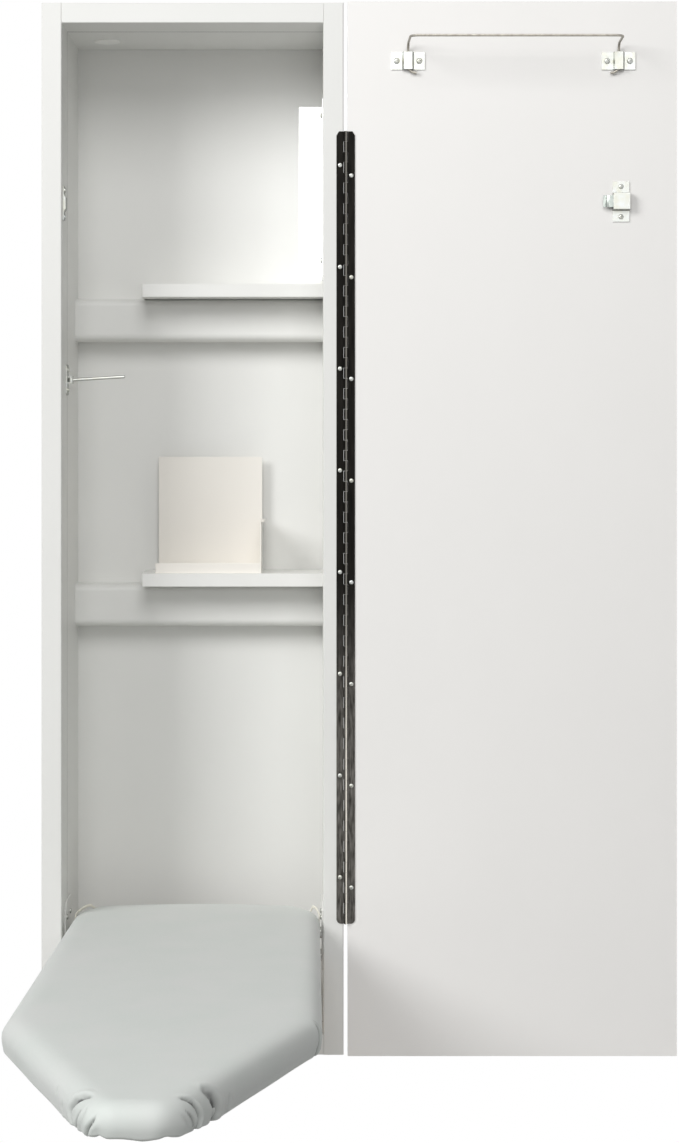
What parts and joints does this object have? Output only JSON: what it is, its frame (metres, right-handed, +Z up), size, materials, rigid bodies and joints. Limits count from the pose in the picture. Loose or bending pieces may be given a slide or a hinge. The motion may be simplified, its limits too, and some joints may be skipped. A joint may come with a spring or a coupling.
{
  "type": "mirrored ironing board cabinet",
  "caption": "Tall shallow wall cabinet with a hinged mirror door, a fold-down ironing board on side pivots, shelves, an iron holder and a garment bar.",
  "frame": {"origin": "centre of the back face, which lies against the wall or in its recess", "axes": "+X to the right seen from the front, +Y into the wall, +Z up"},
  "size_m": [0.7549, 1.1661, 1.253],
  "materials": {
    "white_laminate": "satin white laminate on board",
    "bright_sheet": "bright rolled sheet",
    "cream_enamel": "satin cream enamel",
    "white_enamel": "satin white enamel",
    "white_plastic": "moulded, matt",
    "zinc": "bright zinc plate",
    "polished_hinge": "polished plate",
    "spring_steel": "tempered strip",
    "silvered_glass": "silvered back, polished face",
    "foam_tape": "closed-cell foam",
    "plywood": "sanded birch plywood",
    "felt": "needled felt",
    "cotton_cover": "silvery woven cotton",
    "elastic": "braided elastic",
    "black_rubber": "moulded"
  },
  "bodies": {
    "cabinet": {"frame_left_stile": "white_laminate", "frame_right_stile": "white_laminate", "frame_top_rail": "white_laminate", "frame_bottom_rail": "white_laminate", "left_side": "white_laminate", "right_side": "white_laminate", "top_panel": "white_laminate", "bottom_panel": "white_laminate", "back_panel": "white_laminate", "upper_cleat": "white_laminate", "lower_cleat": "white_laminate", "upper_shelf": "white_laminate", "lower_shelf": "white_laminate", "heat_shield": "bright_sheet", "heat_shield_screws": "zinc", "iron_holder": "cream_enamel", "iron_holder_screws": "zinc", "hole_plug": "white_plastic", "strike_plate": "zinc", "strike_screws": "zinc", "rod_bracket": "zinc", "rod_bracket_screws": "zinc", "pivot_plate_left": "white_enamel", "pivot_plate_right": "white_enamel", "pivot_plate_screws": "zinc", "pivot_bolts": "zinc", "leg_seat": "zinc", "leg_seat_screws": "zinc", "hinge_frame_leaf": "polished_hinge", "hinge_pin": "zinc", "hinge_frame_screws": "zinc"},
    "door": {"hinge_door_leaf": "polished_hinge", "hinge_door_screws": "zinc", "door_panel": "white_laminate", "mirror_tape": "foam_tape", "mirror_glass": "silvered_glass", "bar_bracket_left": "zinc", "bar_bracket_right": "zinc", "bar_bracket_screws": "zinc", "garment_bar": "zinc", "catch_bracket": "zinc", "catch_spring": "spring_steel", "catch_screws": "zinc"},
    "board": {"board_core": "plywood", "board_pad": "felt", "board_cover": "cotton_cover", "cover_ties": "elastic", "board_rail_left": "zinc", "board_rail_right": "zinc", "board_rail_screws": "zinc", "leg_bracket": "zinc", "leg_bracket_screws": "zinc", "leg_pin": "zinc"},
    "leg": {"support_leg": "zinc", "leg_foot": "black_rubber"},
    "rod": {"retainer_rod": "zinc"}
  },
  "joints": [
    {"name": "door_hinge", "type": "hinge", "parent": "cabinet", "child": "door", "pos_m": [0.182, -0.2063, 0], "axis": [0, 0, -1], "range_deg": [0, 90]},
    {"name": "board_fold", "type": "hinge", "parent": "cabinet", "child": "board", "pos_m": [0.003, -0.138, -0.4935], "axis": [-1, 0, 0], "range_deg": [0, 87]},
    {"name": "leg_fold", "type": "hinge", "parent": "board", "child": "leg", "pos_m": [0.003, -0.38813, -0.4894], "axis": [-1, 0, 0], "range_deg": [-23.5, 0]},
    {"name": "rod_swing", "type": "hinge", "parent": "cabinet", "child": "rod", "pos_m": [-0.1503, -0.147, 0.178], "axis": [0, 0, -1], "range_deg": [0, 90]}
  ],
  "couplings": [
    {"joint": "leg_fold", "follows": "board_fold", "ratio": -0.26438}
  ]
}
